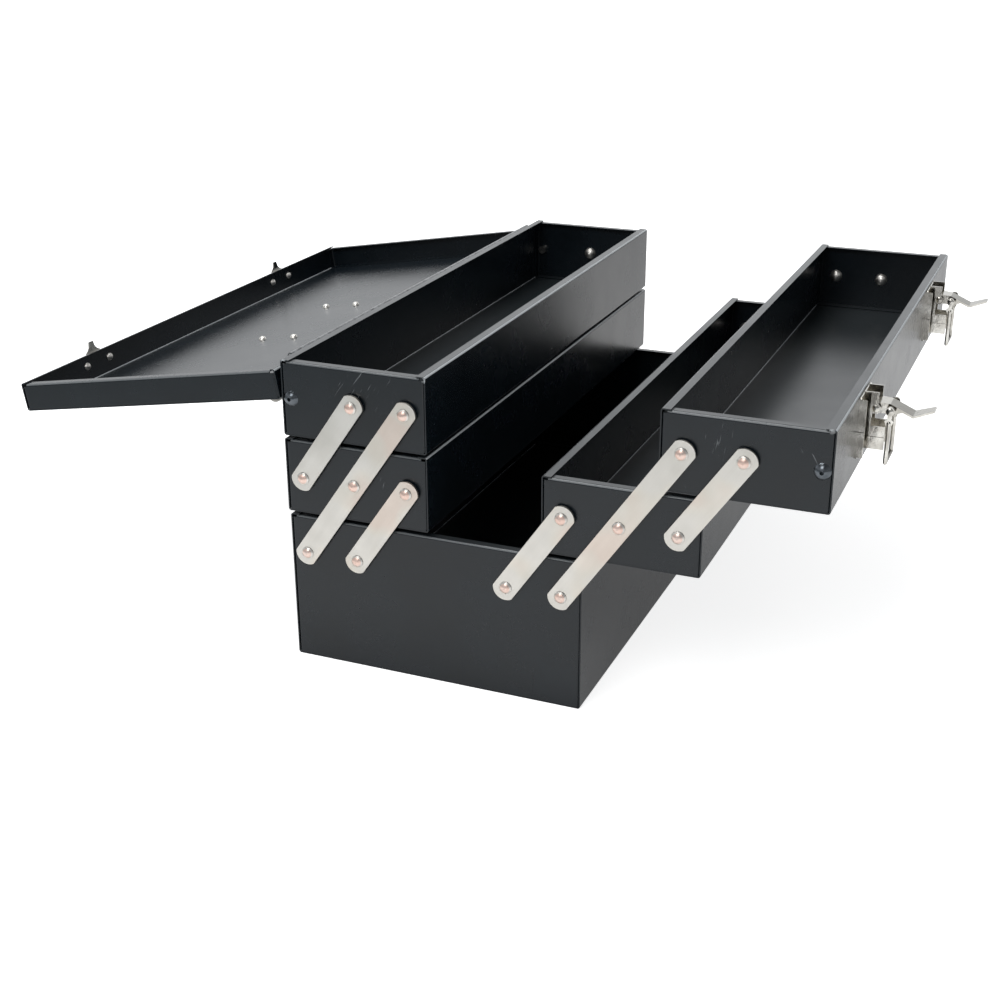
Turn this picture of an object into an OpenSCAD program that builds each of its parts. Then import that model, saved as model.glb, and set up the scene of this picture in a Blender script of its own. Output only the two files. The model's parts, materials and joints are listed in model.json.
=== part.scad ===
// Cantilever tool box of folded sheet steel.
// A base box carries two trays on each side on parallel arms, and a shallow lid is hinged to the upper left tray.
// It is drawn as it stands half open: left trays closed, right trays fully out, lid thrown back, latches open.
// X runs across the box to the right, Y runs along it to the rear, Z is up. The origin is under the base's centre.

/* [Boxes] */
// Width of the base box
base_w = 197; // [170:1:240]
// Height of the base box
base_h = 100; // [80:1:140]
// Length of the base box and the trays
box_len = 430; // [420:1:520]
// Height of each tray
tray_h = 49; // [46:1:60]
// Space between a tray and the box or tray below it
level_gap = 1.8; // [1:0.1:3]
// How far a closed tray stands out past the base on its outer side
tray_overhang = 1.2; // [0.5:0.1:3]
// Space between the left and right trays when both are closed
tray_gap = 3.4; // [2:0.1:6]
// Thickness of the folded sheet
sheet = 0.8; // [0.6:0.1:1]
// Outer radius of a fold
bend_r = 1.6; // [1.4:0.1:2]
// Width of the lip folded inwards round each rim
lip_w = 6; // [4:0.5:8]
// Depth of the flanges that hold an end panel in its shell
panel_flange = 7; // [5:0.5:10]
// Space round an end panel in its shell
panel_fit = 0.1; // [0.05:0.05:0.2]
// Length of the notch between an end lip and the corner
lip_notch = 4; // [3:0.5:6]

/* [Arms] */
// Width of an arm
arm_w = 14.5; // [12:0.5:18]
// Thickness of an arm
arm_t = 1.6; // [1:0.1:2.5]
// Radius of the arc across each end of an arm
arm_end_r = 8.2; // [8:0.1:10]
// How far an arm leans sideways over one level
arm_reach = 35.3; // [32:0.1:37]
// Distance between neighbouring pivots on a tray
pivot_pitch = 35.5; // [34:0.1:37]
// Radius of the spacing washer behind an arm
washer_r = 7.2; // [6:0.1:8]
// Thickness of the spacing washer
washer_t = 1.2; // [0.8:0.1:2]
// End play of an arm on each side
arm_play = 0.3; // [0.2:0.05:0.5]
// Radius of a pivot rivet's shank
rivet_r = 2.5; // [2:0.1:3]
// Radius of a pivot rivet's domed head
rivet_head_r = 4; // [3.6:0.1:4.5]
// Height of a pivot rivet's domed head
rivet_head_h = 2; // [1.5:0.1:2.5]
// Radius of a pivot rivet's closing head inside the box
rivet_tail_r = 4.9; // [3.4:0.1:5.2]
// Height of a pivot rivet's domed closing head
rivet_tail_h = 3.4; // [2:0.1:3.6]
// Radial clearance of a turning joint
turn_fit = 0.05; // [0.02:0.01:0.1]
// Radial clearance at the free end of a short arm
open_fit = 0.1; // [0.05:0.01:0.1]

/* [Blind rivets] */
// Radius of a black blind rivet's head
stud_head_r = 5; // [4:0.1:6]
// Height of a black blind rivet's head
stud_head_h = 2.7; // [1.8:0.1:3]
// Radius of a black blind rivet's body
stud_r = 2.4; // [2:0.1:2.8]
// Radius of the mandrel hole in a black blind rivet
stud_hole_r = 1.2; // [0.8:0.1:1.5]
// Radius of a black blind rivet's bulb inside the tray
stud_tail_r = 3.2; // [3:0.1:3.6]
// Height of that bulb
stud_tail_h = 3.4; // [2.5:0.1:4.5]
// Distance of a black blind rivet from the tray's outer wall
stud_edge = 6.2; // [6:0.1:8]

/* [Lid] */
// Depth of the lid's walls
lid_depth = 19.3; // [18.5:0.1:25]
// Width of the lips along the lid's long walls
lid_lip_w = 3; // [2.5:0.5:5]
// Space between the closed lid's rim and the tray rims
lid_gap = 0.5; // [0.4:0.1:1]
// How far the closed lid's latch wall stands out past the tray
lid_over = 0.6; // [0.4:0.1:1]
// Angle from the closed lid to the lid thrown back
lid_open_angle = 189.6; // [180:0.1:190]

/* [Hinge] */
// Number of hinge knuckles, an odd number
knuckle_count = 33; // [21:2:33]
// Length of one knuckle with its gap
knuckle_len = 12; // [10:0.5:12]
// Gap between neighbouring knuckles
knuckle_gap = 0.3; // [0.2:0.05:0.5]
// Outer radius of a knuckle
knuckle_r = 2.1; // [2:0.1:2.2]
// Radius of the hinge pin
hinge_pin_r = 1.1; // [0.8:0.1:1.3]
// Distance of the hinge axis from the tray's outer wall
hinge_out = 2.6; // [2.5:0.1:3]
// Distance of the hinge axis below the tray's rim
hinge_drop = 3; // [2.6:0.1:3.5]
// Thickness of a hinge leaf
leaf_t = 0.9; // [0.7:0.1:1]
// Height of a hinge leaf from the axis
leaf_h = 11; // [8:0.5:12]

/* [Latches] */
// Distance of each latch from its end of the box, before the fittings' shift
latch_inset = 87; // [75:1:110]
// How far the latches and the handle sit towards the front
fitting_shift = 6; // [0:1:15]
// Half width of a latch base
latch_half_w = 16; // [15:0.5:20]
// Distance of a latch base's upper edge below the rim
latch_drop = 2; // [1.5:0.1:3]
// Height of a latch base
latch_h = 37.5; // [36:0.5:40]
// Thickness of the latch sheet
latch_t = 1; // [0.8:0.1:1.2]
// Depth of the flanges along a latch base
latch_flange = 4.2; // [3:0.1:5]
// Distance of the lever's pin from the tray wall
lever_pin_out = 8; // [7.8:0.1:9]
// Distance of the lever's pin below the rim
lever_pin_drop = 10.2; // [10:0.1:11]
// Distance of the loop's pin from the lever's pin
loop_pin_out = 8.5; // [8.3:0.1:9.2]
// Radius of both latch pins
latch_pin_r = 1.5; // [1.2:0.1:1.6]
// Half width of the lever
lever_half_w = 6; // [5.5:0.1:6.3]
// Length of the loop from its pin to its bar's middle
loop_len = 31; // [29:0.1:33]
// Thickness of the loop's eye plates
loop_t = 1.6; // [1.2:0.1:1.8]
// Radius of the loop's rods
loop_rod_r = 1.3; // [1.1:0.1:1.4]

/* [Handle] */
// Distance between the handle brackets
handle_pitch = 97; // [80:1:120]
// Distance between the two rivets of a bracket
bracket_pitch = 27; // [24:1:34]
// Distance of the handle's line from the lid's middle, towards the hinge
handle_shift = 2; // [0:0.5:6]
// Radius of the handle's bar
bail_r = 3; // [2.5:0.1:3.5]
// Height of the handle's grip above its axis
bail_rise = 38; // [30:1:45]
// Radius of the soft grip
grip_r = 6.5; // [5:0.1:8]

/* [Hidden] */
$fn = 48;

// One overrun serves every cut
cut = 1;
// Share of a plate's or grip's size that its corner or edge takes
corner_share = 0.25;

// Levels and sideways places, all from the boxes above
step = tray_h + level_gap;
z_lower = base_h + level_gap;
z_upper = z_lower + step;
rim_z = z_upper + tray_h;
tray_out_x = base_w / 2 + tray_overhang;
tray_w = tray_out_x - tray_gap / 2;
tray_c = tray_out_x - tray_w / 2;
half_len = box_len / 2;

// The arms are the long sides of a parallelogram that leans as far in when closed as out when open
arm_len = norm([arm_reach, step]);
arm_lean = atan2(arm_reach, step);
pivot_z = z_lower + tray_h / 2 - step;
long_base_x = tray_c + arm_reach;
short_base_x = long_base_x - pivot_pitch;
lower_pivots = [-pivot_pitch, 0, pivot_pitch];
upper_pivots = [-arm_reach, pivot_pitch - arm_reach];
arm_y = washer_t + arm_play;
head_y = arm_y + arm_t + arm_play;
upper_out_c = tray_c + 4 * arm_reach;
upper_out_wall = upper_out_c + tray_w / 2;

// Hinge axis and lid, drawn closed and then turned back about the axis
hinge_x = -tray_out_x - hinge_out;
hinge_z = rim_z - hinge_drop;
hinge_len = knuckle_count * knuckle_len;
lid_w = 2 * tray_out_x + lid_over;
lid_c = -tray_out_x + lid_w / 2;
lid_z = rim_z + lid_gap;
lid_top_z = lid_z + lid_depth;
lid_wall_u = lid_over;

// Handle bracket and bail, on the lid's top
bracket_t = 1.2;
bracket_w = 15;
bracket_end = 6;
eye_wall = 1.4;
eye_r = bail_r + eye_wall;
eye_rise = 0.2;
eye_h = eye_r + eye_rise;
bail_corner_r = 9;
bail_leg_y = handle_pitch / 2 + bracket_w / 2 + bail_corner_r;
bail_pin_in = handle_pitch / 2 - bracket_w / 2 - bail_r;
grip_share = 0.8;
grip_len = 2 * (bail_leg_y - bail_corner_r) * grip_share;
grip_fit = 0.05;
grip_edge = grip_r * corner_share;

// Small rivets of the lid fittings and latch bases
pop_r = 1.6;
pop_head_r = 3;
pop_head_h = 1.1;
pop_tail_r = 2.9;
pop_tail_h = 2.4;
pop_fit = 0.05;

// Latch, in its own frame: u out from the tray wall, v along the box, w up from the rim
latch_ys = [-half_len + latch_inset - fitting_shift, half_len - latch_inset - fitting_shift];
pin_a = [lever_pin_out, -lever_pin_drop];
pin_b = pin_a + [loop_pin_out, 0];
base_low = latch_drop + latch_h;
pin_gap = 0.7;
ear_in = lever_half_w + pin_gap;
ear_out = ear_in + latch_t;
ear_drop = 0.5;
ear_r = 3;
ear_reach = 1.4;
ear_u = lever_pin_out + ear_reach;
spine_u = 6;
plate_corner_r = 1.5;
flange_step = 0.8;
flange_step_low = 22.7;
guard_u = 14.3;
guard_top = 21;
guard_low = 34.6;
rib_top = 27.2;
rib_t = 0.5;
latch_rivet_top = 22.5;
latch_rivet_pitch = 8;
pin_head_r = 2.2;
pin_head_h = 0.6;
pin_play = 0.3;
leg_gap = 0.6;
leg_in = ear_out + pin_head_h + leg_gap;
leg_out = leg_in + loop_t;
rod_v = leg_in + loop_rod_r;

// Loop's eye plate, from the loop's pin down: eye, neck, shoulder and the waist where the rod carries on
loop_eye_r = 2.7;
loop_neck = [1.2, -4.6];
loop_shoulder = [2.6, -5.8];
loop_waist = [1.3, -9.3];

// Lever outline, from the lever's pin: heel, hump, dip and tip of its back, and the walls below it
lever_t = 1.2;
lever_toe = [-2.4, 2.6];
lever_heel = [1.6, 3.8];
lever_hump = [7.7, 3.2];
lever_dip = [21, -2.7];
lever_tip = [32.4, 1.6];
lever_wall_end = [16, -0.9];
lever_wall_low = [11.5, -2.6];
lever_wall_back = [0, -2.9];
lever_wall_toe = [-2.4, -1.6];
lever_taper_u = 24;
lever_tip_half_w = 4.2;

// Strike on the lid, in the latch's frame with the lid closed
strike_t = 1;
strike_half_w = 17;
strike_low = 3;
strike_high = 17;
strike_rivet_v = 13;
strike_rivet_w = 8.5;
tongue_half_w = 8;
tongue_shoulder_w = 1.2;
tongue_waist = [5, -0.5];
tongue_neck = [3.2, -2.2];
tongue_tip = [2.2, -6.3];
tongue_out = 1.5;
tongue_knee = 0.5;
hook_half_w = 7;
hook_w = 9.8;
hook_out = 5.5;
hook_lip = 3.4;
hook_lean = 0.8;

// Placing helpers

// Draws its children for the front end, or mirrored for the rear end
module at_end(rear) {
    if (rear) mirror([0, 1, 0]) children();
    else children();
}

// Draws its children at both ends
module both_ends() {
    children();
    mirror([0, 1, 0]) children();
}

// Draws its children, laid out for the right side, on the left or right
module on_side(left) {
    if (left) mirror([1, 0, 0]) children();
    else children();
}

// Turns an outline in X and Z into a plate that starts at Y zero and runs to the rear
module plate_xz(depth) {
    translate([0, depth, 0]) rotate([90, 0, 0]) linear_extrude(depth) children();
}

// Turns an outline in Y and Z into a plate that starts at X zero and runs outwards
module plate_yz(depth) {
    rotate([90, 0, 90]) linear_extrude(depth) children();
}

// Points a piece drawn along Z out of the front end at a place on the end wall
module out_of_front(x, z) {
    translate([x, -half_len, z]) rotate([90, 0, 0]) children();
}

// Puts a latch piece in its place on the wall of the extended upper right tray
module at_latch(y) {
    translate([upper_out_wall, y, rim_z]) children();
}

// Turns the lid and what is on it back from closed to open
module lid_thrown_back() {
    translate([hinge_x, 0, hinge_z]) rotate([0, -lid_open_angle, 0]) translate([-hinge_x, 0, -hinge_z]) children();
}

// Sideways shift of a side's trays: the left side is closed and the right side is fully out
function shift(left, level) = left ? 0 : 2 * arm_reach * level;
function tray_x(left, level) = tray_c + shift(left, level);
function arm_angle(left) = left ? -arm_lean : arm_lean;

// Outline of a bent strip of even thickness along its centre line
function strip_normal(p, i) =
    let (n = len(p) - 1,
         a = i == 0 ? p[1] - p[0] : p[i] - p[i - 1],
         b = i == n ? p[n] - p[n - 1] : p[i + 1] - p[i],
         ua = a / norm(a),
         ub = b / norm(b),
         m = ua + ub,
         um = m / norm(m))
    [-um[1], um[0]] / (um * ua);
function strip_outline(p, t) = concat(
    [for (i = [0 : len(p) - 1]) p[i] + strip_normal(p, i) * t / 2],
    [for (i = [len(p) - 1 : -1 : 0]) p[i] - strip_normal(p, i) * t / 2]);

// Folded sheet boxes

// Rectangle with round corners, centred on x, standing on y zero
module round_rect(w, h, r) {
    translate([-w / 2 + r, 0]) square([w - 2 * r, h]);
    translate([-w / 2, r]) square([w, h - 2 * r]);
    for (x = [-w / 2 + r, w / 2 - r], y = [r, h - r]) translate([x, y]) circle(r);
}

// Two long walls and the bottom, folded from one sheet, with a lip along each wall
module box_shell(w, h, lip) {
    translate([0, -half_len, 0]) plate_xz(box_len) difference() {
        round_rect(w, h, bend_r);
        translate([0, sheet]) round_rect(w - 2 * sheet, h - 2 * sheet, bend_r - sheet);
        translate([-w / 2 + lip, h / 2]) square([w - 2 * lip, h / 2 + cut]);
    }
}

// Quarter of a folded ring, in the corner quadrant to the upper left
module fold_quarter() {
    intersection() {
        difference() {
            circle(bend_r);
            circle(bend_r - sheet);
        }
        translate([-bend_r, 0]) square([bend_r, bend_r]);
    }
}

// Front end panel, set between the shell's walls, with flanges, a top lip and round holes at [x, z, r]
module end_panel(w, h, lip, holes) {
    in_w = w - 2 * sheet - 2 * panel_fit;
    low = sheet + panel_fit;
    top = h - sheet - panel_fit;
    foot_w = w - 2 * bend_r - 2 * panel_fit;
    lip_len = w - 2 * lip_notch;
    translate([0, -half_len, 0]) difference() {
        union() {
            translate([0, 0, bend_r]) linear_extrude(top - bend_r - bend_r) difference() {
                round_rect(in_w, 2 * panel_flange, bend_r);
                translate([0, sheet]) round_rect(in_w - 2 * sheet, 2 * panel_flange, bend_r - sheet);
                translate([-in_w / 2 - cut, panel_flange]) square([in_w + 2 * cut, panel_flange + cut]);
            }
            translate([-foot_w / 2, 0, low]) cube([foot_w, sheet, bend_r - low + sheet]);
            translate([-foot_w / 2, 0, low]) cube([foot_w, panel_flange, sheet]);
            translate([-lip_len / 2, 0, 0]) plate_yz(lip_len) {
                translate([bend_r, top - bend_r]) fold_quarter();
                translate([bend_r, top - sheet]) square([lip - bend_r, sheet]);
                translate([0, top - 2 * bend_r]) square([sheet, bend_r]);
            }
        }
        for (p = holes) translate([p[0], sheet + cut, p[1]]) rotate([90, 0, 0])
            cylinder(r = p[2], h = sheet + 2 * cut);
    }
}

// Holes for the pivot rivets, in the frame of a tray or of the base
function pivot_holes(xs, z) = [for (x = xs) [x, z, rivet_r + turn_fit]];
stud_x = tray_w / 2 - stud_edge;
stud_holes = [[stud_x, tray_h / 2, stud_r + turn_fit]];
base_pivots = [-long_base_x, -short_base_x, short_base_x, long_base_x];

module base_panel() {
    end_panel(base_w, base_h, lip_w, pivot_holes(base_pivots, pivot_z));
}

module tray_panel(level) {
    end_panel(tray_w, tray_h, lip_w,
        level == 1 ? pivot_holes(lower_pivots, tray_h / 2)
                   : concat(pivot_holes(upper_pivots, tray_h / 2), stud_holes));
}

module tray_place(left, level) {
    on_side(left) translate([tray_x(left, level), 0, level == 1 ? z_lower : z_upper]) children();
}

// A tray's shell; the upper right one is drilled for the latch rivets
module tray_shell(left, level) {
    color([0.07, 0.07, 0.08]) difference() {
        tray_place(left, level) box_shell(tray_w, tray_h, lip_w);
        if (!left && level == 2)
            for (y = latch_ys) at_latch(y) latch_rivet_places() translate([0, 0, -bend_r - cut])
                cylinder(r = pop_r + pop_fit, h = bend_r + 2 * cut);
    }
}

module tray_end(left, level, rear) {
    color([0.09, 0.09, 0.1]) tray_place(left, level) at_end(rear) tray_panel(level);
}

// Pivot rivets, washers and arms

// Domed cap of radius r and height h, its flat side at z zero
module dome(r, h) {
    ball_r = (r * r + h * h) / (2 * h);
    intersection() {
        translate([0, 0, h - ball_r]) sphere(ball_r);
        cylinder(r = r + cut, h = h + cut);
    }
}

// Pivot rivet: domed head outside, shank through arm, washer and panel, closing head inside
module pivot_rivet() {
    translate([0, 0, head_y]) dome(rivet_head_r, rivet_head_h);
    translate([0, 0, -sheet]) cylinder(r = rivet_r, h = sheet + head_y);
    translate([0, 0, -sheet]) mirror([0, 0, 1]) dome(rivet_tail_r, rivet_tail_h);
}

module pivot_washer() {
    difference() {
        cylinder(r = washer_r, h = washer_t);
        translate([0, 0, -cut]) cylinder(r = rivet_r + turn_fit, h = washer_t + 2 * cut);
    }
}

module base_fasteners() {
    both_ends() for (x = base_pivots) out_of_front(x, pivot_z) children();
}

module tray_fasteners(left, level) {
    xs = level == 1 ? lower_pivots : upper_pivots;
    z = level == 1 ? z_lower : z_upper;
    on_side(left) both_ends() for (x = xs) out_of_front(tray_x(left, level) + x, z + tray_h / 2) children();
}

// Flat arm over a number of levels, its lower pivot at the origin, with a hole of radius r at each pivot
module arm_blank(levels, radii) {
    reach = levels * arm_len;
    difference() {
        linear_extrude(arm_t) {
            translate([-arm_w / 2, 0]) square([arm_w, reach]);
            for (y = [0, reach]) translate([0, y]) intersection() {
                circle(arm_end_r);
                translate([-arm_w / 2, -arm_end_r]) square([arm_w, 2 * arm_end_r]);
            }
        }
        for (i = [0 : levels]) translate([0, i * arm_len, -cut])
            cylinder(r = rivet_r + radii[i], h = arm_t + 2 * cut);
    }
}

module arm(left, rear, x, z, levels, radii) {
    color([0.8, 0.79, 0.76]) on_side(left) at_end(rear) out_of_front(x, z)
        translate([0, 0, arm_y]) rotate([0, 0, -arm_angle(left)]) arm_blank(levels, radii);
}

module long_arm(left, rear) {
    arm(left, rear, long_base_x, pivot_z, 2, [turn_fit, turn_fit, turn_fit]);
}

module lower_arm(left, rear) {
    arm(left, rear, short_base_x, pivot_z, 1, [turn_fit, open_fit]);
}

module upper_arm(left, rear) {
    arm(left, rear, tray_x(left, 1) + pivot_pitch, pivot_z + step, 1, [turn_fit, open_fit]);
}

// Black blind rivet with its mandrel hole
module stud() {
    difference() {
        union() {
            dome(stud_head_r, stud_head_h);
            translate([0, 0, -sheet - stud_tail_h])
                cylinder(r = stud_r, h = sheet + stud_tail_h + stud_head_h / 2);
            translate([0, 0, -sheet - stud_tail_h]) cylinder(r = stud_tail_r, h = stud_tail_h);
        }
        cylinder(r = stud_hole_r, h = stud_head_h + cut);
    }
}

module studs(left) {
    color([0.12, 0.12, 0.13]) on_side(left) both_ends()
        out_of_front(tray_x(left, 2) + stud_x, z_upper + tray_h / 2) stud();
}

// Hinge

// One leaf drawn down from the axis, with every second knuckle from the first given
module leaf(first) {
    back = hinge_out - leaf_t;
    difference() {
        union() {
            translate([back, -hinge_len / 2, -leaf_h]) cube([leaf_t, hinge_len, leaf_h - knuckle_r - knuckle_gap]);
            for (i = [first : 2 : knuckle_count - 1])
                translate([0, i * knuckle_len - hinge_len / 2 + knuckle_gap / 2, 0]) {
                    rotate([-90, 0, 0]) cylinder(r = knuckle_r, h = knuckle_len - knuckle_gap);
                    translate([back, 0, -leaf_h / 2]) cube([leaf_t, knuckle_len - knuckle_gap, leaf_h / 2]);
                }
        }
        translate([0, -hinge_len / 2 - cut, 0]) rotate([-90, 0, 0])
            cylinder(r = hinge_pin_r + turn_fit, h = hinge_len + 2 * cut);
    }
}

// Lid

handle_rivets = [for (x = [-bracket_pitch / 2, bracket_pitch / 2], y = [-handle_pitch / 2, handle_pitch / 2])
    [x - handle_shift, y - fitting_shift]];

module lid_shell_closed() {
    difference() {
        translate([lid_c, 0, lid_top_z]) mirror([0, 0, 1]) box_shell(lid_w, lid_depth, lid_lip_w);
        for (p = handle_rivets) translate([lid_c + p[0], p[1], lid_top_z - sheet - cut])
            cylinder(r = pop_r + pop_fit, h = sheet + 2 * cut);
        for (y = latch_ys) strike_frame(y) strike_rivet_places() translate([0, 0, -bend_r - cut])
            cylinder(r = pop_r + pop_fit, h = bend_r + 2 * cut);
    }
}

module lid_panel_closed() {
    translate([lid_c, 0, lid_top_z]) mirror([0, 0, 1]) end_panel(lid_w, lid_depth, lip_w, []);
}

// Small rivet along Z through a plate of thickness t on one sheet, the sheet's outer face at zero
module pop_rivet(t) {
    translate([0, 0, t]) dome(pop_head_r, pop_head_h);
    translate([0, 0, -sheet]) cylinder(r = pop_r, h = sheet + t);
    translate([0, 0, -sheet]) mirror([0, 0, 1]) dome(pop_tail_r, pop_tail_h);
}

// Strike plate, in the latch's frame moved to the closed lid's wall
module strike_frame(y) {
    translate([tray_out_x + lid_wall_u, y, rim_z]) children();
}

module strike_rivet_places() {
    for (v = [-strike_rivet_v, strike_rivet_v]) translate([0, v, strike_rivet_w]) rotate([0, 90, 0]) children();
}

module strike() {
    mid = strike_t / 2;
    tongue = [[mid, strike_low + cut], [mid, strike_low], [mid + tongue_out, tongue_knee],
              [mid + tongue_out, tongue_tip[1]]];
    hook = [[mid, hook_w], [hook_out, hook_w], [hook_out + hook_lean, hook_w + hook_lip]];
    difference() {
        union() {
            translate([0, 0, strike_low]) plate_yz(strike_t)
                round_rect(2 * strike_half_w, strike_high - strike_low, (strike_high - strike_low) * corner_share);
            intersection() {
                translate([0, -tongue_half_w, 0]) plate_xz(2 * tongue_half_w) polygon(strip_outline(tongue, strike_t));
                plate_yz(tongue_half_w) for (s = [0, 1]) mirror([s, 0]) polygon([
                    [0, strike_low + cut], [tongue_half_w, strike_low + cut], [tongue_half_w, tongue_shoulder_w],
                    tongue_waist, tongue_neck, tongue_tip, [0, tongue_tip[1]]]);
            }
            translate([0, -hook_half_w, 0]) plate_xz(2 * hook_half_w) polygon(strip_outline(hook, strike_t));
        }
        strike_rivet_places() translate([0, 0, -cut]) cylinder(r = pop_r + pop_fit, h = strike_t + 2 * cut);
    }
}

// Handle

module handle_frame() {
    translate([lid_c - handle_shift, -fitting_shift, lid_top_z]) children();
}

// Bracket with a rolled eye along Y, centred on its foot
module bracket() {
    foot_l = bracket_pitch + 2 * bracket_end;
    difference() {
        union() {
            translate([0, -bracket_w / 2, 0]) linear_extrude(bracket_t)
                round_rect(foot_l, bracket_w, bracket_w * corner_share);
            translate([0, -bracket_w / 2, 0]) plate_xz(bracket_w) {
                translate([0, eye_h]) circle(eye_r);
                translate([-eye_r, 0]) square([2 * eye_r, eye_h]);
            }
        }
        translate([0, -bracket_w / 2 - cut, eye_h]) rotate([-90, 0, 0])
            cylinder(r = bail_r + turn_fit, h = bracket_w + 2 * cut);
        for (x = [-bracket_pitch / 2, bracket_pitch / 2]) translate([x, 0, -cut])
            cylinder(r = pop_r + pop_fit, h = bracket_t + 2 * cut);
    }
}

// Quarter bend of the bail's bar in the Y Z plane, from +Y towards -Z, about its own centre
module bail_bend() {
    rotate([90, 0, 90]) rotate_extrude(angle = 90) translate([bail_corner_r, 0]) circle(bail_r);
}

// Bail drawn up from its axis: two pins, two legs, four bends and the bar of the grip
module bail_up() {
    leg = bail_rise - 2 * bail_corner_r;
    both_ends() {
        translate([0, bail_pin_in, 0]) rotate([-90, 0, 0])
            cylinder(r = bail_r, h = bail_leg_y - bail_corner_r - bail_pin_in);
        translate([0, bail_leg_y - bail_corner_r, bail_corner_r]) mirror([0, 0, 1]) bail_bend();
        translate([0, bail_leg_y, bail_corner_r]) cylinder(r = bail_r, h = leg);
        translate([0, bail_leg_y - bail_corner_r, bail_rise - bail_corner_r]) bail_bend();
    }
    translate([0, -bail_leg_y + bail_corner_r, bail_rise]) rotate([-90, 0, 0])
        cylinder(r = bail_r, h = 2 * (bail_leg_y - bail_corner_r));
}

module grip_up() {
    translate([0, -grip_len / 2, bail_rise]) rotate([-90, 0, 0]) difference() {
        union() {
            translate([0, 0, grip_edge]) cylinder(r = grip_r, h = grip_len - 2 * grip_edge);
            cylinder(r1 = grip_r - grip_edge, r2 = grip_r, h = grip_edge);
            translate([0, 0, grip_len - grip_edge]) cylinder(r1 = grip_r, r2 = grip_r - grip_edge, h = grip_edge);
        }
        translate([0, 0, -cut]) cylinder(r = bail_r + grip_fit, h = grip_len + 2 * cut);
    }
}

// The bail hangs straight down from the open lid, so it leans in the closed lid's frame
module bail_hung() {
    lid_thrown_back() handle_frame() translate([0, 0, eye_h]) rotate([0, lid_open_angle - 180, 0]) children();
}

// Latches

module latch_rivet_places() {
    for (i = [0, 1]) translate([0, 0, -latch_rivet_top - i * latch_rivet_pitch]) rotate([0, 90, 0]) children();
}

// Ear, spine and guard cheek of a latch base, in u and w
module cheek_outline() {
    translate([latch_t / 2, -guard_low]) square([spine_u - latch_t / 2, guard_low - latch_drop]);
    translate([latch_t, -lever_pin_drop - ear_r]) square([ear_u - latch_t, ear_r + lever_pin_drop - ear_drop]);
    translate([latch_t / 2, -guard_low]) square([guard_u - latch_t / 2, guard_low - guard_top]);
    translate(pin_a) circle(ear_r);
}

// Latch base: plate, flanges with a thicker lower part, two cheeks and a rib on each guard
module latch_base() {
    flange_low = -base_low + plate_corner_r;
    flange_high = -latch_drop - plate_corner_r;
    difference() {
        union() {
            translate([0, 0, -base_low]) plate_yz(latch_t)
                round_rect(2 * latch_half_w, latch_h, plate_corner_r);
            for (s = [0, 1]) mirror([0, s, 0]) {
                translate([0, latch_half_w - latch_t, flange_low])
                    cube([latch_flange, latch_t, flange_high - flange_low]);
                translate([0, latch_half_w - latch_t, flange_low])
                    cube([latch_flange, latch_t + flange_step, -flange_step_low - flange_low]);
                translate([0, ear_in, 0]) plate_xz(latch_t) cheek_outline();
                translate([latch_t, ear_in, -guard_low])
                    cube([guard_u - latch_t, latch_t + rib_t, guard_low - rib_top]);
            }
        }
        translate([pin_a[0], -ear_out - cut, pin_a[1]]) rotate([-90, 0, 0])
            cylinder(r = latch_pin_r + turn_fit, h = 2 * (ear_out + cut));
        latch_rivet_places() translate([0, 0, -cut]) cylinder(r = pop_r + pop_fit, h = latch_t + 2 * cut);
    }
}

// Headed pin along V, between its heads' inner faces at plus and minus half
module latch_pin(half) {
    rotate([90, 0, 0]) {
        translate([0, 0, -half]) cylinder(r = latch_pin_r, h = 2 * half);
        for (s = [0, 1]) mirror([0, 0, s]) translate([0, 0, half]) dome(pin_head_r, pin_head_h);
    }
}

// Lever: a bent back that narrows to its tip, and a wall under each edge of its pinned end
module latch_lever() {
    spine = [lever_toe, lever_heel, lever_hump, lever_dip, lever_tip];
    down = [0, -lever_t / 2];
    translate([pin_a[0], 0, pin_a[1]]) difference() {
        union() {
            intersection() {
                translate([0, -lever_half_w, 0]) plate_xz(2 * lever_half_w)
                    polygon(strip_outline([for (p = spine) p + down], lever_t));
                translate([0, 0, -lever_pin_drop]) linear_extrude(2 * lever_pin_drop) for (s = [0, 1]) mirror([0, s])
                    polygon([[lever_toe[0] - cut, 0], [lever_toe[0] - cut, lever_half_w],
                             [lever_taper_u, lever_half_w],
                             [lever_tip[0] + cut, lever_tip_half_w], [lever_tip[0] + cut, 0]]);
            }
            for (s = [0, 1]) mirror([0, s, 0])
                translate([0, lever_half_w - latch_t, 0]) plate_xz(latch_t) polygon([
                lever_toe + down, lever_heel + down, lever_hump + down, lever_wall_end, lever_wall_low,
                lever_wall_back, lever_wall_toe]);
        }
        for (p = [[0, 0], pin_b - pin_a]) translate([p[0], -lever_half_w - cut, p[1]]) rotate([-90, 0, 0])
            cylinder(r = latch_pin_r + turn_fit, h = 2 * (lever_half_w + cut));
    }
}

// Eye plate of the loop, hanging from its pin, in u and w
module loop_plate() {
    circle(loop_eye_r);
    for (s = [0, 1]) mirror([s, 0])
        polygon([[0, 0], [loop_neck[0], 0], loop_neck, loop_shoulder, loop_waist, [0, loop_waist[1]]]);
}

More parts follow.
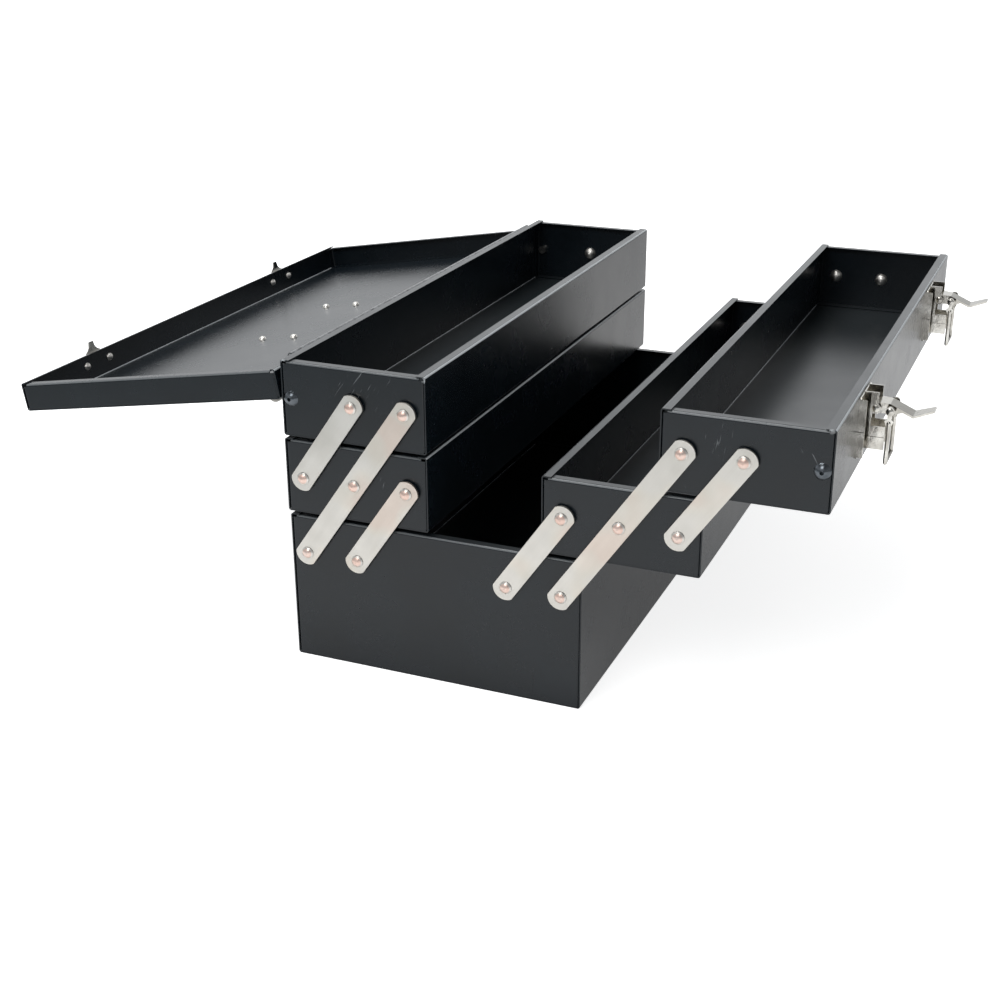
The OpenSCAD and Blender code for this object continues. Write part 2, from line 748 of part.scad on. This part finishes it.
// Loop: two eye plates carried on by rods, joined by a bar that the strike's hook holds
module latch_loop() {
    translate([pin_b[0], 0, pin_b[1]]) difference() {
        union() {
            for (s = [0, 1]) mirror([0, s, 0]) {
                translate([0, leg_in, 0]) plate_xz(loop_t) loop_plate();
                translate([0, rod_v, -loop_len])
                    cylinder(r = loop_rod_r, h = loop_len + loop_shoulder[1] - loop_rod_r);
                translate([0, rod_v, loop_shoulder[1] - loop_rod_r]) sphere(loop_rod_r);
                translate([0, rod_v, -loop_len]) sphere(loop_rod_r);
            }
            translate([0, -rod_v, -loop_len]) rotate([-90, 0, 0]) cylinder(r = loop_rod_r, h = 2 * rod_v);
        }
        translate([0, -leg_out - cut, 0]) rotate([-90, 0, 0])
            cylinder(r = latch_pin_r + turn_fit, h = 2 * (leg_out + cut));
    }
}

// Sub-parts

dark = [0.07, 0.07, 0.08];
bright = [0.82, 0.81, 0.79];

module base_shell() { color(dark) box_shell(base_w, base_h, lip_w); }
module base_end(rear) { color([0.09, 0.09, 0.1]) at_end(rear) base_panel(); }
module base_rivets() { color(bright) base_fasteners() pivot_rivet(); }
module base_washers() { color(bright) base_fasteners() pivot_washer(); }
module tray_rivets(left, level) { color(bright) tray_fasteners(left, level) pivot_rivet(); }
module tray_washers(left, level) { color(bright) tray_fasteners(left, level) pivot_washer(); }

module tray_hinge_leaf() {
    color([0.2, 0.2, 0.21]) translate([hinge_x, 0, hinge_z]) leaf(0);
}
module lid_hinge_leaf() {
    color([0.2, 0.2, 0.21]) lid_thrown_back() translate([hinge_x, 0, hinge_z]) mirror([0, 0, 1]) leaf(1);
}
module hinge_pin() {
    color(bright) translate([hinge_x, -hinge_len / 2, hinge_z]) rotate([-90, 0, 0])
        cylinder(r = hinge_pin_r, h = hinge_len);
}

module lid_shell() { color(dark) lid_thrown_back() lid_shell_closed(); }
module lid_end(rear) { color([0.09, 0.09, 0.1]) lid_thrown_back() at_end(rear) lid_panel_closed(); }
module lid_rivets() {
    color(bright) lid_thrown_back() {
        for (p = handle_rivets) translate([lid_c + p[0], p[1], lid_top_z]) pop_rivet(bracket_t);
        for (y = latch_ys) strike_frame(y) strike_rivet_places() pop_rivet(strike_t);
    }
}
module strike_plates() { color(bright) lid_thrown_back() for (y = latch_ys) strike_frame(y) strike(); }
module handle_brackets() {
    color(bright) lid_thrown_back() handle_frame()
        for (s = [-1, 1]) translate([0, s * handle_pitch / 2, 0]) bracket();
}
module handle_bail() { color(bright) bail_hung() bail_up(); }
module handle_grip() { color([0.05, 0.05, 0.05]) bail_hung() grip_up(); }

module latch_base_rivets() { color(bright) for (y = latch_ys) at_latch(y) latch_rivet_places() pop_rivet(latch_t); }
module latch_lever_pins() {
    color(bright) for (y = latch_ys) at_latch(y) translate([pin_a[0], 0, pin_a[1]]) latch_pin(ear_out);
}
module loop_pin(y) {
    color(bright) at_latch(y) translate([pin_b[0], 0, pin_b[1]]) latch_pin(leg_out + pin_play);
}

base_shell();
base_end(false);  // base_front_panel
base_end(true);  // base_rear_panel
base_rivets();
base_washers();
tray_shell(true, 1);  // left_lower_tray_shell
tray_end(true, 1, false);  // left_lower_tray_front
tray_end(true, 1, true);  // left_lower_tray_rear
tray_rivets(true, 1);  // left_lower_tray_rivets
tray_washers(true, 1);  // left_lower_tray_washers
tray_shell(true, 2);  // left_upper_tray_shell
tray_end(true, 2, false);  // left_upper_tray_front
tray_end(true, 2, true);  // left_upper_tray_rear
tray_rivets(true, 2);  // left_upper_tray_rivets
tray_washers(true, 2);  // left_upper_tray_washers
studs(true);  // left_upper_tray_studs
tray_shell(false, 1);  // right_lower_tray_shell
tray_end(false, 1, false);  // right_lower_tray_front
tray_end(false, 1, true);  // right_lower_tray_rear
tray_rivets(false, 1);  // right_lower_tray_rivets
tray_washers(false, 1);  // right_lower_tray_washers
tray_shell(false, 2);  // right_upper_tray_shell
tray_end(false, 2, false);  // right_upper_tray_front
tray_end(false, 2, true);  // right_upper_tray_rear
tray_rivets(false, 2);  // right_upper_tray_rivets
tray_washers(false, 2);  // right_upper_tray_washers
studs(false);  // right_upper_tray_studs
long_arm(true, false);  // left_long_arm_front
long_arm(true, true);  // left_long_arm_rear
lower_arm(true, false);  // left_lower_arm_front
lower_arm(true, true);  // left_lower_arm_rear
upper_arm(true, false);  // left_upper_arm_front
upper_arm(true, true);  // left_upper_arm_rear
long_arm(false, false);  // right_long_arm_front
long_arm(false, true);  // right_long_arm_rear
lower_arm(false, false);  // right_lower_arm_front
lower_arm(false, true);  // right_lower_arm_rear
upper_arm(false, false);  // right_upper_arm_front
upper_arm(false, true);  // right_upper_arm_rear
tray_hinge_leaf();
lid_hinge_leaf();
hinge_pin();
lid_shell();
lid_end(false);  // lid_front_panel
lid_end(true);  // lid_rear_panel
lid_rivets();
strike_plates();
handle_brackets();
handle_bail();
handle_grip();
color(bright) at_latch(latch_ys[0]) latch_base();  // front_latch_base
color(bright) at_latch(latch_ys[1]) latch_base();  // rear_latch_base
latch_base_rivets();
latch_lever_pins();
color(bright) at_latch(latch_ys[0]) latch_lever();  // front_latch_lever
color(bright) at_latch(latch_ys[1]) latch_lever();  // rear_latch_lever
loop_pin(latch_ys[0]);  // front_loop_pin
loop_pin(latch_ys[1]);  // rear_loop_pin
color(bright) at_latch(latch_ys[0]) latch_loop();  // front_latch_loop
color(bright) at_latch(latch_ys[1]) latch_loop();  // rear_latch_loop
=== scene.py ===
import json
import math

import bpy
from mathutils import Matrix, Vector

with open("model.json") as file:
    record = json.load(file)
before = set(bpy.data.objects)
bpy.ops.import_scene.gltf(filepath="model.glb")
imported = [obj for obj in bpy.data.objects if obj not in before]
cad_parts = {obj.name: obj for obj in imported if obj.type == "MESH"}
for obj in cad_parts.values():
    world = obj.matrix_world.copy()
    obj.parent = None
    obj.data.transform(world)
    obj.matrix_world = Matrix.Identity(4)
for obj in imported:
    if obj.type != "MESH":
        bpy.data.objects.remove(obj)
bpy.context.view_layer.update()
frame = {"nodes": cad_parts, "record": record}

nodes = frame["nodes"]
scene = bpy.context.scene
mm = 0.001
end_face = 216 * mm  # outer face of the end panels of the base and the trays, from the middle of the box
# Sockets of a colour Mix node: the share of the second colour, both colours and the result
mix_share, mix_first, mix_second, mix_result = 0, 6, 7, 2
# Most values of a noise texture lie in this range
noise_range = {"From Min": 0.3, "From Max": 0.7}


def linear(code):
    """Linear red, green, blue and alpha of an sRGB hex colour."""
    v = [int(code[i:i + 2], 16) / 255 for i in (1, 3, 5)]
    return [c / 12.92 if c <= 0.04045 else ((c + 0.055) / 1.055) ** 2.4 for c in v] + [1.0]


def add(tree, kind, inputs=None, out=0, stops=None, **settings):
    """Adds a node and gives its output out.

    Inputs are values, hex colours or sockets to link. Stops fill a ramp. Settings are the node's own properties.
    """
    node = tree.nodes.new(kind)
    for key, value in settings.items():
        setattr(node, key, value)
    for key, value in (inputs or {}).items():
        if isinstance(value, bpy.types.NodeSocket):
            tree.links.new(value, node.inputs[key])
        else:
            node.inputs[key].default_value = linear(value) if isinstance(value, str) else value
    if stops:
        elements = node.color_ramp.elements
        while len(elements) < len(stops):
            elements.new(0.5)
        for element, (position, code) in zip(elements, stops):
            element.position, element.color = position, linear(code)
    return node.outputs[out] if len(node.outputs) else node


def finish(name, build, metallic, extra=None):
    """A material on Object coordinates. build(tree, place) gives the colour, roughness and normal sockets."""
    material = bpy.data.materials.new(name)
    material.use_nodes = True
    tree = material.node_tree
    tree.nodes.clear()
    place = add(tree, "ShaderNodeTexCoord", out="Object")
    colour, rough, normal = build(tree, place)
    shader = {"Base Color": colour, "Roughness": rough, "Normal": normal, "Metallic": metallic, **(extra or {})}
    add(tree, "ShaderNodeOutputMaterial", {"Surface": add(tree, "ShaderNodeBsdfPrincipled", shader)})
    return material


# Patches of fine scratches on the coat: centre and reach in millimetres, lean of the scratches in radians
scuffs = [((-46, -215, 190), 22, 0.6), ((-22, -215, 184), 16, 0.45), ((176, -215, 186), 15, 0.1),
          ((150, -206, 162), 20, -0.35), ((-30, -215, 133), 10, 0.3), ((226, -215, 184), 9, -0.5)]
# Corners where the coat is worn through at the weld, in millimetres
worn_corners = [(-2.4, -216, 199.6), (-97.6, -216, 200.6), (98, -216, 98.6), (238, -216, 200.6)]


# Powder coat: baked polyester over folded steel. Satin blue-black, with a faint orange peel about 4 mm across,
# cloudy gloss about 40 mm across, short bright hairlines where the arms are gripped, worn corners, and a painted
# highlight along the rim bends
def powder_coat(tree, place):
    peel = add(tree, "ShaderNodeTexNoise", {"Vector": place, "Scale": 1 / (4 * mm), "Detail": 1.0})
    cloud = add(tree, "ShaderNodeTexNoise",
                {"Vector": place, "Scale": 1 / (40 * mm), "Detail": 4.0, "Roughness": 0.6})
    marks_and_highlight = 0.0
    # Hairlines about 0.4 mm wide and 5 mm long, slightly curled: the highest crests of a noise stretched upwards
    hair, stretch = 1.3 * mm, 9.0
    for centre, reach, lean in scuffs:
        turned = add(tree, "ShaderNodeMapping",
                     {"Vector": place, "Rotation": (0.0, lean, 0.0), "Scale": (1.0, 1.0, stretch)},
                     vector_type="TEXTURE")
        strand = add(tree, "ShaderNodeTexNoise",
                     {"Vector": turned, "Scale": 1 / hair, "Detail": 1.0, "Distortion": 0.5})
        line = add(tree, "ShaderNodeMapRange", {"Value": strand, "From Min": 0.7, "From Max": 0.8, "To Max": 0.4})
        far = add(tree, "ShaderNodeVectorMath", {0: place, 1: [c * mm for c in centre]},
                  out="Value", operation="DISTANCE")
        here = add(tree, "ShaderNodeMapRange",
                   {"Value": far, "From Min": reach * mm, "From Max": reach * 0.4 * mm})
        marks_and_highlight = add(tree, "ShaderNodeMath", {0: line, 1: here, 2: marks_and_highlight}, operation="MULTIPLY_ADD")
    for corner in worn_corners:
        far = add(tree, "ShaderNodeVectorMath", {0: place, 1: [c * mm for c in corner]},
                  out="Value", operation="DISTANCE")
        bare = add(tree, "ShaderNodeMapRange", {"Value": far, "From Min": 2.2 * mm, "From Max": 1.2 * mm})
        marks_and_highlight = add(tree, "ShaderNodeMath", {0: marks_and_highlight, 1: bare}, operation="MAXIMUM")
    base = add(tree, "ShaderNodeValToRGB", {"Fac": cloud}, stops=[(0.3, "#0d1419"), (0.7, "#141c22")])
    # Fine dust lies on what faces up, so it is greyer and less glossy
    normal = add(tree, "ShaderNodeTexCoord", out="Normal")
    upward = add(tree, "ShaderNodeSeparateXYZ", {0: normal}, out="Z")
    dust = add(tree, "ShaderNodeMapRange", {"Value": upward, "From Min": 0.99, "From Max": 0.998})
    base = add(tree, "ShaderNodeMix", {mix_share: dust, mix_first: base, mix_second: "#22272a"},
               out=mix_result, data_type="RGBA")
    # Painted highlight: the bends of the rims are drawn bright, most on the side facing right, where they would
    # catch the light. There the normal leans up but lies along no axis, so that its largest part is below 1
    size = add(tree, "ShaderNodeVectorMath", {0: normal}, operation="ABSOLUTE")
    largest = add(tree, "ShaderNodeSeparateXYZ", {0: size}, out="X")
    for axis in ("Y", "Z"):
        part = add(tree, "ShaderNodeSeparateXYZ", {0: size}, out=axis)
        largest = add(tree, "ShaderNodeMath", {0: largest, 1: part}, operation="MAXIMUM")
    bend = add(tree, "ShaderNodeMapRange", {"Value": largest, "From Min": 0.97, "From Max": 0.9})
    leaning = add(tree, "ShaderNodeMapRange", {"Value": upward, "From Min": 0.1, "From Max": 0.4})
    rightward = add(tree, "ShaderNodeSeparateXYZ", {0: normal}, out="X")
    rightward = add(tree, "ShaderNodeMapRange",
                    {"Value": rightward, "From Min": 0.1, "From Max": 0.3, "To Min": 0.3})
    bend_highlight = add(tree, "ShaderNodeMath", {0: bend, 1: leaning}, operation="MULTIPLY")
    bend_highlight = add(tree, "ShaderNodeMath", {0: bend_highlight, 1: rightward}, operation="MULTIPLY")
    marks_and_highlight = add(tree, "ShaderNodeMath", {0: marks_and_highlight, 1: bend_highlight}, operation="MAXIMUM")
    # The light grey mixed in here is the colour of the scratches and worn corners, and also the painted highlight
    # on the rim bends
    colour = add(tree, "ShaderNodeMix", {mix_share: marks_and_highlight, mix_first: base, mix_second: "#b4b9bc"},
                 out=mix_result, data_type="RGBA")
    rough = add(tree, "ShaderNodeMapRange", {"Value": cloud, **noise_range, "To Min": 0.24, "To Max": 0.29})
    rough = add(tree, "ShaderNodeMath", {0: dust, 1: 0.06, 2: rough}, operation="MULTIPLY_ADD")
    return colour, rough, add(tree, "ShaderNodeBump", {"Height": peel, "Distance": 0.0004 * mm})


# Zinc plate on steel strip: satin, warm white, rolled along the strip, with a faint straw and pink passivation
def zinc_plate(tree, place):
    arm_lean = math.radians(34.8)  # the arms' lean to the right of upright at rest
    cloud = add(tree, "ShaderNodeTexNoise", {"Vector": place, "Scale": 1 / (26 * mm), "Detail": 2.0})
    tint = add(tree, "ShaderNodeTexNoise", {"Vector": place, "Scale": 1 / (34 * mm), "Detail": 1.0})
    along = add(tree, "ShaderNodeMapping",
                {"Vector": place, "Rotation": (0.0, arm_lean, 0.0), "Scale": (1.0, 1.0, 25.0)},
                vector_type="TEXTURE")
    grain = add(tree, "ShaderNodeTexNoise", {"Vector": along, "Scale": 1 / (0.7 * mm), "Detail": 3.0})
    base = add(tree, "ShaderNodeValToRGB", {"Fac": cloud}, stops=[(0.3, "#cdcac3"), (0.7, "#dcd9d3")])
    warm = add(tree, "ShaderNodeValToRGB", {"Fac": tint},
               stops=[(0.45, "#d9d5cc"), (0.56, "#ddd2bd"), (0.66, "#dcc4b4")])
    share = add(tree, "ShaderNodeMapRange", {"Value": tint, "From Min": 0.5, "From Max": 0.68, "To Max": 0.45})
    colour = add(tree, "ShaderNodeMix", {mix_share: share, mix_first: base, mix_second: warm},
                 out=mix_result, data_type="RGBA")
    rough = add(tree, "ShaderNodeMapRange", {"Value": grain, **noise_range, "To Min": 0.34, "To Max": 0.46})
    return colour, rough, add(tree, "ShaderNodeBump", {"Height": grain, "Distance": 0.006 * mm})


# Rivets: steel with a thin nickel flash over copper, which shows pink on the rubbed crowns outside the end panels.
# The closing heads inside stay silver
def rivet_nickel(tree, place):
    facing = add(tree, "ShaderNodeSeparateXYZ", {0: add(tree, "ShaderNodeTexCoord", out="Normal")}, out="Y")
    facing = add(tree, "ShaderNodeMath", {0: facing}, operation="ABSOLUTE")
    crown = add(tree, "ShaderNodeMapRange", {"Value": facing, "From Min": 0.73, "From Max": 0.82})
    along = add(tree, "ShaderNodeSeparateXYZ", {0: place}, out="Y")
    along = add(tree, "ShaderNodeMath", {0: along}, operation="ABSOLUTE")
    outside = add(tree, "ShaderNodeMath", {0: along, 1: end_face}, operation="GREATER_THAN")
    cloud = add(tree, "ShaderNodeTexNoise", {"Vector": place, "Scale": 1 / (6 * mm), "Detail": 2.0})
    dents = add(tree, "ShaderNodeTexNoise", {"Vector": place, "Scale": 1 / (1.6 * mm), "Detail": 2.0})
    pink = add(tree, "ShaderNodeMapRange", {"Value": cloud, "From Min": 0.3, "From Max": 0.55, "To Min": 0.65})
    worn = add(tree, "ShaderNodeMath", {0: crown, 1: pink}, operation="MULTIPLY")
    worn = add(tree, "ShaderNodeMath", {0: worn, 1: outside}, operation="MULTIPLY")
    colour = add(tree, "ShaderNodeMix", {mix_share: worn, mix_first: "#e4e1db", mix_second: "#ebcdc0"},
                 out=mix_result, data_type="RGBA")
    rough = add(tree, "ShaderNodeMapRange", {"Value": cloud, **noise_range, "To Min": 0.32, "To Max": 0.42})
    return colour, rough, add(tree, "ShaderNodeBump", {"Height": dents, "Distance": 0.03 * mm})


# Washers: plain zinc plate, duller than the arms
def washer_zinc(tree, place):
    cloud = add(tree, "ShaderNodeTexNoise", {"Vector": place, "Scale": 1 / (4 * mm), "Detail": 2.0})
    colour = add(tree, "ShaderNodeValToRGB", {"Fac": cloud}, stops=[(0.3, "#9a9893"), (0.7, "#b9b6b0")])
    rough = add(tree, "ShaderNodeMapRange", {"Value": cloud, **noise_range, "To Min": 0.32, "To Max": 0.45})
    return colour, rough, add(tree, "ShaderNodeBump", {"Height": cloud, "Distance": 0.02 * mm})


# Latch parts: pressed steel in bright nickel plate, wavy from the press tool every 3 mm or so, with painted shade
# on the faces that look up
def bright_nickel(tree, place):
    cloud = add(tree, "ShaderNodeTexNoise", {"Vector": place, "Scale": 1 / (9 * mm), "Detail": 2.0})
    wave = add(tree, "ShaderNodeTexNoise", {"Vector": place, "Scale": 1 / (3.2 * mm), "Detail": 2.0})
    colour = add(tree, "ShaderNodeValToRGB", {"Fac": cloud},
                 stops=[(0.35, "#b0ada6"), (0.52, "#cdcac3"), (0.68, "#e6e4de")])
    # Painted shade: faces that look up are drawn darker, towards a grey brown
    upward = add(tree, "ShaderNodeSeparateXYZ", {0: add(tree, "ShaderNodeTexCoord", out="Normal")}, out="Z")
    top_shade = add(tree, "ShaderNodeMapRange", {"Value": upward, "From Min": 0.2, "From Max": 0.7, "To Max": 0.85})
    colour = add(tree, "ShaderNodeMix", {mix_share: top_shade, mix_first: colour, mix_second: "#8f8c85"},
                 out=mix_result, data_type="RGBA")
    rough = add(tree, "ShaderNodeMapRange", {"Value": cloud, **noise_range, "To Min": 0.1, "To Max": 0.2})
    return colour, rough, add(tree, "ShaderNodeBump", {"Height": wave, "Distance": 0.1 * mm})


# Blind rivets: black nickel, glossier than the powder coat. Their closing heads inside the panels are bare steel
def rivet_black(tree, place):
    cloud = add(tree, "ShaderNodeTexNoise", {"Vector": place, "Scale": 1 / (3 * mm), "Detail": 2.0})
    colour = add(tree, "ShaderNodeValToRGB", {"Fac": cloud}, stops=[(0.3, "#565b60"), (0.7, "#6c7176")])
    along = add(tree, "ShaderNodeSeparateXYZ", {0: place}, out="Y")
    along = add(tree, "ShaderNodeMath", {0: along}, operation="ABSOLUTE")
    inside = add(tree, "ShaderNodeMath", {0: along, 1: end_face - 1 * mm}, operation="LESS_THAN")
    colour = add(tree, "ShaderNodeMix", {mix_share: inside, mix_first: colour, mix_second: "#dedbd4"},
                 out=mix_result, data_type="RGBA")
    rough = add(tree, "ShaderNodeMapRange", {"Value": cloud, **noise_range, "To Min": 0.18, "To Max": 0.26})
    return colour, rough, add(tree, "ShaderNodeBump", {"Height": cloud, "Distance": 0.02 * mm})


# Hinge strip: thin black coat, rubbed to grey in patches about 5 mm across. The grey is also a painted highlight,
# standing in for the light caught along the knuckles
def hinge_black(tree, place):
    rub_and_highlight = add(tree, "ShaderNodeTexNoise", {"Vector": place, "Scale": 1 / (5 * mm), "Detail": 3.0})
    colour = add(tree, "ShaderNodeValToRGB", {"Fac": rub_and_highlight}, stops=[(0.34, "#46484a"), (0.64, "#7e8082")])
    rough = add(tree, "ShaderNodeMapRange", {"Value": rub_and_highlight, **noise_range, "To Min": 0.26, "To Max": 0.4})
    return colour, rough, add(tree, "ShaderNodeBump", {"Height": rub_and_highlight, "Distance": 0.03 * mm})


# Grip: soft black vinyl, dip moulded, matt with a fine grain about 0.9 mm across
def grip_vinyl(tree, place):
    grain = add(tree, "ShaderNodeTexNoise", {"Vector": place, "Scale": 1 / (0.9 * mm), "Detail": 2.0})
    colour = add(tree, "ShaderNodeValToRGB", {"Fac": grain}, stops=[(0.3, "#141414"), (0.7, "#1c1c1c")])
    rough = add(tree, "ShaderNodeMapRange", {"Value": grain, **noise_range, "To Min": 0.5, "To Max": 0.65})
    return colour, rough, add(tree, "ShaderNodeBump", {"Height": grain, "Distance": 0.05 * mm})


finishes = {
    "black_coat": finish("satin_powder_coat", powder_coat, 0.0, {"IOR": 1.47}),
    "arm_steel": finish("zinc_plated_strip", zinc_plate, 1.0),
    "rivet_steel": finish("nickel_flashed_rivets", rivet_nickel, 1.0),
    "washer_steel": finish("zinc_plated_washers", washer_zinc, 1.0),
    "latch_steel": finish("bright_nickel_plate", bright_nickel, 1.0),
    "black_rivet": finish("black_nickel_rivets", rivet_black, 1.0),
    "hinge_coat": finish("rubbed_hinge_strip_painted_highlight", hinge_black, 0.0),
    "grip_rubber": finish("soft_black_grip", grip_vinyl, 0.0),
}
slot_of = {s["node"]: s["material_slot"] for s in frame["record"]["subparts"]}
for name, piece in nodes.items():
    piece.data.materials.clear()
    piece.data.materials.append(finishes[slot_of[name]])

# Floor: white paper that shows white to the camera and keeps the box's soft shadow. In bright metal it shows a
# painted pool of light, and its colour is painted darker and bluer towards the left front, away from the lamps, as
# painted shade
reach = 9.0
corners = [(-reach, -reach, 0), (reach, -reach, 0), (reach, reach, 0), (-reach, reach, 0)]
floor_mesh = bpy.data.meshes.new("floor")
floor_mesh.from_pydata(corners, [], [(0, 1, 2, 3)])
floor = bpy.data.objects.new("floor", floor_mesh)
scene.collection.objects.link(floor)
paper = bpy.data.materials.new("white_paper")
paper.use_nodes = True
tree = paper.node_tree
tree.nodes.clear()
camera_ray = add(tree, "ShaderNodeLightPath", out="Is Camera Ray")
glossy_ray = add(tree, "ShaderNodeLightPath", out="Is Glossy Ray")
spot = add(tree, "ShaderNodeTexCoord", out="Object")
left_front = (-0.7, -0.7, 0.0)
away = add(tree, "ShaderNodeVectorMath", {0: spot, 1: left_front}, out="Value", operation="DOT_PRODUCT")
away = add(tree, "ShaderNodeMapRange", {"Value": away, "From Min": 0.0, "From Max": 1.1})
# Painted pool of light: the paper glows for reflections at the box and behind it, fading out towards the left
# front
glow_pool = add(tree, "ShaderNodeValToRGB", {"Fac": away},
            stops=[(0.0, "#909090"), (0.2, "#9e9e9e"), (0.35, "#9e9e9e"), (0.8, "#000000")])
glossy_glow = add(tree, "ShaderNodeMath", {0: glossy_ray, 1: glow_pool}, operation="MULTIPLY")
# From 0.7 to 1.4 m out the paper's glow to the camera rises to full white
outer = add(tree, "ShaderNodeVectorMath", {0: spot}, out="Value", operation="LENGTH")
camera_glow = add(tree, "ShaderNodeMapRange",
                  {"Value": outer, "From Min": 0.7, "From Max": 1.4, "To Min": 0.78, "To Max": 1.05})
glow = add(tree, "ShaderNodeMath", {0: camera_ray, 1: camera_glow, 2: glossy_glow}, operation="MULTIPLY_ADD")
glow = add(tree, "ShaderNodeEmission", {"Color": "#ffffff", "Strength": glow})
# Painted shade: the paper's own colour darkens and turns bluer away from the lamps
painted_shade_tone = add(tree, "ShaderNodeValToRGB", {"Fac": away}, stops=[(0.4, "#f2f2f2"), (0.95, "#aab4b8")])
sheet = add(tree, "ShaderNodeBsdfDiffuse", {"Color": painted_shade_tone})
add(tree, "ShaderNodeOutputMaterial", {"Surface": add(tree, "ShaderNodeAddShader", {0: glow, 1: sheet})})
floor_mesh.materials.append(paper)

# Studio: white to the camera. The back wall is brightest from about 15 to 25 degrees above the floor and dimmer on
# the right and in front. The ceiling is dark round the lamp, which draws the bends
front_wall, back_wall, ceiling = 0.42, 1.2, 0.2
world = bpy.data.worlds.new("studio")
scene.world = world
world.use_nodes = True
tree = world.node_tree
tree.nodes.clear()
direction = add(tree, "ShaderNodeTexCoord", out="Generated")
side = add(tree, "ShaderNodeSeparateXYZ", {0: direction}, out="X")
back = add(tree, "ShaderNodeSeparateXYZ", {0: direction}, out="Y")
high = add(tree, "ShaderNodeSeparateXYZ", {0: direction}, out="Z")
is_left = add(tree, "ShaderNodeMapRange", {"Value": side, "From Min": 0.2, "From Max": -0.1, "To Min": 0.4})
is_back = add(tree, "ShaderNodeMapRange", {"Value": back, "From Min": -0.3, "From Max": 0.5})
is_low = add(tree, "ShaderNodeMapRange", {"Value": high, "From Min": 0.75, "From Max": 0.35})
band = add(tree, "ShaderNodeMapRange", {"Value": high, "From Max": 0.3, "To Min": 0.35, "To Max": 1.4})
wall = add(tree, "ShaderNodeMapRange", {"Value": is_back, "To Min": front_wall, "To Max": back_wall})
wall = add(tree, "ShaderNodeMath", {0: wall, 1: is_left}, operation="MULTIPLY")
wall = add(tree, "ShaderNodeMath", {0: wall, 1: band}, operation="MULTIPLY")
level = add(tree, "ShaderNodeMath", {0: wall, 1: is_low, 2: ceiling}, operation="MULTIPLY_ADD")
light = add(tree, "ShaderNodeBackground", {"Color": "#f4f6f8", "Strength": level})
white = add(tree, "ShaderNodeBackground", {"Color": "#ffffff"})
camera_ray = add(tree, "ShaderNodeLightPath", out="Is Camera Ray")
studio = add(tree, "ShaderNodeMixShader", {0: camera_ray, 1: light, 2: white})
add(tree, "ShaderNodeOutputWorld", {"Surface": studio})


def lamp(name, at, towards, size, watts):
    """A soft square lamp at a place, facing a point."""
    data = bpy.data.lights.new(name, "AREA")
    data.shape = "SQUARE"
    data.size = size
    data.energy = watts
    piece = bpy.data.objects.new(name, data)
    scene.collection.objects.link(piece)
    aim = Vector(towards) - Vector(at)
    piece.matrix_world = Matrix.Translation(at) @ aim.to_track_quat("-Z", "Y").to_matrix().to_4x4()


lamp("soft_top", (-0.5, 0.0, 2.1), (0, 0, 0.1), 1.2, 26)
lamp("soft_front", (-0.2, -1.9, 1.7), (0, 0, 0.15), 1.0, 13)

# Camera where the photograph was taken from: a normal lens about 1.2 m away, above the box and to its right
camera_place = (0.3717, -0.98837, 0.47874)
yaw, pitch, roll = math.radians(22.841), math.radians(-22.496), math.radians(-0.27)
look = Vector((-math.sin(yaw) * math.cos(pitch), math.cos(yaw) * math.cos(pitch), math.sin(pitch)))
flat = Vector((math.cos(yaw), math.sin(yaw), 0))
rise = flat.cross(look)
right = math.cos(roll) * flat + math.sin(roll) * rise
up = math.cos(roll) * rise - math.sin(roll) * flat
camera_data = bpy.data.cameras.new("camera")
camera_data.sensor_width = 36
camera_data.lens = 54.966
camera_data.clip_end = 40
camera = bpy.data.objects.new("camera", camera_data)
scene.collection.objects.link(camera)
turn = Matrix((right, up, -look)).transposed().to_4x4()
camera.matrix_world = Matrix.Translation(camera_place) @ turn
scene.camera = camera
scene.view_settings.view_transform = "Standard"

bpy.context.view_layer.update()
